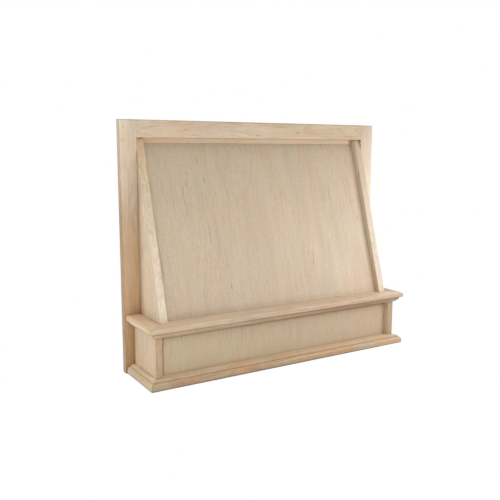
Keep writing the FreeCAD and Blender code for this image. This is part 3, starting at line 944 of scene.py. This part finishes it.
dress_all({
    "cap_front": dict(
        grain="across", cut=(-0.06, 0.14, 7.3), colour=(0.549, 0.420, 0.301),
        roughness=planed_smooth, streaks=3.4, mottle=1.6, corner_shade=(0.72, 0.67, 0.60),
        # the drift paints the cap lighter towards its top; the marks paint shade under the nose and
        # on the right of the lip, and light on the left of the lip and on the top at the right
        middle=(-0.05, -0.0947, 0.141), drift=((-0.14, 0, 5.5), (-0.2, 0, 8.5), (-0.15, 0, 11.5)),
        marks=[((0, -90.0, 129.8), (end_to_end, 90, 3.4), 0, (0.70, 0.64, 0.57)),
               ((-190.0, -85.0, 122.0), (330, 80, 16), 0, (1.09, 1.12, 1.14)),
               ((330.0, -85.0, 120.0), (330, 80, 19), 0, (0.82, 0.80, 0.74)),
               ((360.0, -60.0, 148.0), (300, 90, 8), 0, (1.1, 1.15, 1.2))]),
    "cap_left": dict(
        grain="back", cut=(0.46, 0.20, 8.1), colour=(0.666, 0.500, 0.342),
        roughness=planed_smooth, streaks=3.4, mottle=2.0),
    "cap_right": dict(
        grain="back", cut=(-0.27, 0.22, 9.4), colour=(0.39, 0.30, 0.205),
        roughness=planed_smooth, streaks=3.0, mottle=1.6),
    "base_front": dict(
        grain="across", cut=(0.07, 0.15, 10.2), colour=(0.59, 0.458, 0.318),
        roughness=planed_smooth, bands=1.6, streaks=4.0, mottle=2.0, blush=0.14,
        arris_shade=dark_arris, middle=(-0.05, -0.0947, 0.0135),
        # the drift paints the base lighter towards its top, and the shoulder and foot marks are
        # painted shade
        drift=((0, 0, 5.3), (0, 0, 9.2), (0, 0, 10.3)),
        marks=[((0, -90.0, 13.5), (end_to_end, 60, 11), 0, shoulder_shade),
               ((0, -90.0, -0.6), (end_to_end, 60, 6), 0, foot_shade),
               ((-270.8, -94.7, 17.0), (42, 8, 8), 0, (1.04, 0.93, 0.80))]),
    "base_left": dict(
        grain="back", cut=(0.45, 0.11, 11.5), colour=(0.735, 0.605, 0.455),
        roughness=planed_smooth, bands=1.5, streaks=4.0, mottle=2.4, arris_shade=dark_arris,
        # as on the front: lighter towards the top, with painted shade on the shoulder and the foot
        middle=(-0.38, 0, 0.0135), drift=((0, 0, 4.0), (0, 0, 6.0), (0, 0, 6.5)),
        marks=[((-370.0, 0, 13.5), (60, end_to_end, 11), 0, shoulder_shade),
               ((-370.0, 0, -0.6), (60, end_to_end, 6), 0, foot_shade)]),
    "base_right": dict(
        grain="back", cut=(-0.29, 0.13, 12.1), colour=(0.57, 0.44, 0.31),
        roughness=planed_smooth, bands=1.5, streaks=4.0, mottle=2.0, arris_shade=dark_arris,
        # as on the front: lighter towards the top, with painted shade on the shoulder and the foot
        middle=(0.38, 0, 0.0135), drift=((0, 0, 4.0), (0, 0, 6.0), (0, 0, 6.5)),
        marks=[((370.0, 0, 13.5), (60, end_to_end, 11), 0, shoulder_shade),
               ((370.0, 0, -0.6), (60, end_to_end, 6), 0, foot_shade)]),
})

# %% [markdown]
# ## The panels and the cleat
#
# The slope and the apron are closed with plywood, whose veneer is peeled round the log: it has no
# rings and is quieter and greyer than the solid boards. It gets the same finish with the figure
# turned down, a few pores and short lines, and painted shade in the seam where a board's edge
# overlaps it and under the cap. The slope panel is also painted darker towards its top, in the
# rail's shade.
# The cleat behind the rail is a plain planed board, which shows only its lower edge in front.

# %% Dress the panels and the cleat
# painted shade in the seams beside the side boards and under the cap
seam_shade = (0.66, 0.58, 0.48)

dress_all({
    "slope_panel": dict(
        grain="slope", cut=(0.05, 0.35, 13.0), colour=(0.509, 0.409, 0.300), bands=1.2,
        streaks=1.1, mottle=1.3, rings=0.0, flecks=1.0, blush=0.05, straw=0.02,
        corner_shade=(0.93, 0.91, 0.88), middle=(-0.03, 0.02, 0.347),
        # the drift paints the panel darker towards its top, in the rail's shade, and the last mark
        # is painted shade beside the left side board
        drift=((0.03, 0, -0.58), (0.03, 0, -0.59), (0.03, 0, -0.67)),
        marks=[((-214.8, 55.4, 481.4), (1.8, 6, 9.0), 0, line_tone),
               ((-84.7, 46.6, 451.7), (1.1, 6, 26.0), 0, line_tone),
               ((-212.5, -30.4, 193.0), (1.3, 6, 16.0), 0, line_tone),
               ((36.1, 60.4, 498.0), (1.2, 6, 12.0), 0, line_tone),
               ((-329.5, 0, 350.0), (6, 900, 1600), 0, (0.78, 0.72, 0.65))]),
    "apron_front_panel": dict(
        grain="up", cut=(-0.08, 0.41, 14.3), colour=(0.592, 0.475, 0.334), bands=0.3,
        streaks=1.1, mottle=0.8, rings=0.0, flecks=0.4, blush=0.06, straw=0.03,
        corner_shade=(0.88, 0.84, 0.78), middle=(-0.03, 0, 0.07),
        drift=((-0.19, 0, -0.6), (-0.28, 0, -0.8), (-0.23, 0, -0.9)),
        marks=[((-338.5, -72.0, 70.0), (7, 60, 400), 0, seam_shade),
               ((0, -72.0, 113.0), (end_to_end, 60, 8), 0, seam_shade)]),
    "top_cleat": dict(
        grain="across", cut=(-0.535, 0.10, 15.1), colour=(0.575, 0.466, 0.332), blush=0.12,
        rings=0.0, flecks=0.3, middle=(0, 0, 0.55),
        drift=((-0.18, 0, 0), (-0.25, 0, 0), (-0.3, 0, 0)),
        marks=[((-195.8, 75.6, 554.0), (5, 8, 9), 0, (0.9, 0.87, 0.83))]),
})

# %% [markdown]
# ## The inside
#
# Behind the show faces, nailers, ledges, a rib and glue blocks of softwood hold the boards, and
# birch dowels join the frame. Nobody sands these. They could be left plain, but the hood front is
# also looked at from behind, so they get the same finish with wide rings, a stronger contrast and
# a coarser surface. Each piece is cut a step further along one log.

# %% Dress the inside
softwood = (0.62, 0.50, 0.34)
birch = (0.64, 0.53, 0.38)
first_cut = (0.05, 0.08, 17.0)
cut_step = (0.012, 0.009, 0.8)
dowel_cut = (0.1, 0.1, 26.0)
inner_boards = {
    "foot_rail": "across", "left_panel_nailer": "slope", "right_panel_nailer": "slope",
    "panel_centre_rib": "slope", "front_liner_ledge": "across", "left_liner_ledge": "back",
    "right_liner_ledge": "back", "left_glue_block": "up", "right_glue_block": "up",
}
for number, (name, grain) in enumerate(inner_boards.items()):
    cut = [start + step * number for start, step in zip(first_cut, cut_step)]
    dress(name, maple(name, grain, cut, softwood, bands=1.6, streaks=1.4, rings=1.8, flecks=0.2,
                      contrast=0.12, roughness=(0.55, 0.7), grain_depth=0.2))
dress("frame_dowels", maple("frame_dowels", "across", dowel_cut, birch))
print("inner boards:", len(inner_boards))

# %% [markdown]
# ## Metal of the screws and brads
#
# Zinc plate is made of crystals that give it a faint cloudy bloom, and a turned or drawn shank
# has fine marks round it or along it. Both metals could be one flat grey, but what makes them
# read as metal is a roughness that changes from place to place. One group makes the bloom and
# the marks for both, and each metal brings its own two tints.

# %% Metal group
bloom_fineness = 900
bloom_roughness = 0.16
marks_fineness = 4000
marks_stretch = (0.3, 1, 1)

metal_group, given, made = open_group(
    "fastener_metal",
    [("Place", "vector"), ("Bright", "colour"), ("Dull", "colour"), ("Grain", "value")],
    [("Colour", "colour"), ("Roughness", "value"), ("Height", "value")])
tree = metal_group
bloom = ramp(tree, cloud(tree, given["Place"], bloom_fineness, detail=3), low=0.35, high=0.65)
turned = cloud(tree, stretch(tree, given["Place"], marks_stretch), marks_fineness, detail=1)
rough = sum_up(tree, "MULTIPLY_ADD", bloom, bloom_roughness, given["Grain"])
feed(tree, made["Colour"], blend(tree, bloom, given["Bright"], given["Dull"]))
feed(tree, made["Roughness"], rough)
feed(tree, made["Height"], turned)
print("metal group with", len(tree.nodes), "nodes")

# %% [markdown]
# ## Screws and brads
#
# The screws are zinc-plated, a pale and slightly yellow metal, and the brads are plain drawn
# steel, which is darker and smoother. Grey paint with a gloss would never look right: both are
# all metal, so their colour is the tint of what they reflect.

# %% Metal finishes
metal_bump = 0.15
metal_rise = 0.05 * mm


def metal(name, bright, dull, grain):
    finish = bpy.data.materials.new(name)
    finish.use_nodes = True
    tree = finish.node_tree
    shader = tree.nodes["Principled BSDF"]
    shader.inputs["Metallic"].default_value = 1.0
    surface = add_node(tree, "ShaderNodeTexCoord").outputs
    figure = use(tree, metal_group, Place=surface["Object"], Bright=(*bright, 1),
                 Dull=(*dull, 1), Grain=grain)
    feed(tree, shader.inputs["Base Color"], figure["Colour"])
    feed(tree, shader.inputs["Roughness"], figure["Roughness"])
    bump = add_node(tree, "ShaderNodeBump")
    bump.inputs["Strength"].default_value = metal_bump
    bump.inputs["Distance"].default_value = metal_rise
    feed(tree, bump.inputs["Height"], figure["Height"])
    feed(tree, shader.inputs["Normal"], bump.outputs[0])
    return finish


zinc = metal("zinc_plate", bright=(0.70, 0.68, 0.60), dull=(0.54, 0.53, 0.48), grain=0.40)
drawn_steel = metal("drawn_steel", bright=(0.56, 0.55, 0.53), dull=(0.40, 0.39, 0.38), grain=0.28)
for name in steel_pieces:
    dress(name, drawn_steel if name.endswith("_brads") else zinc)
print("metal pieces:", len(steel_pieces))

# %% [markdown]
# ## Putty
#
# The putty in the brad holes is a fine, matt paste with wood dust in it. One flat brown would do
# for such small spots, but seen from close by the dust gives it two tones. A fine cloud mixes
# them and makes the darker places a little rougher.

# %% Putty finish
putty_light = (0.50, 0.37, 0.24, 1)
putty_dark = (0.40, 0.29, 0.18, 1)
dust_fineness = 1500

putty_finish = bpy.data.materials.new("wood_putty")
putty_finish.use_nodes = True
tree = putty_finish.node_tree
shader = tree.nodes["Principled BSDF"]
surface = add_node(tree, "ShaderNodeTexCoord").outputs
paste = ramp(tree, cloud(tree, surface["Object"], dust_fineness, detail=3), low=0.35, high=0.7)
rough = ramp(tree, paste, low=0.0, high=1.0, low_out=0.62, high_out=0.8)
feed(tree, shader.inputs["Base Color"], blend(tree, paste, putty_light, putty_dark))
feed(tree, shader.inputs["Roughness"], rough)
putty_mesh.materials.append(putty_finish)
print("putty finish on", putty.name)
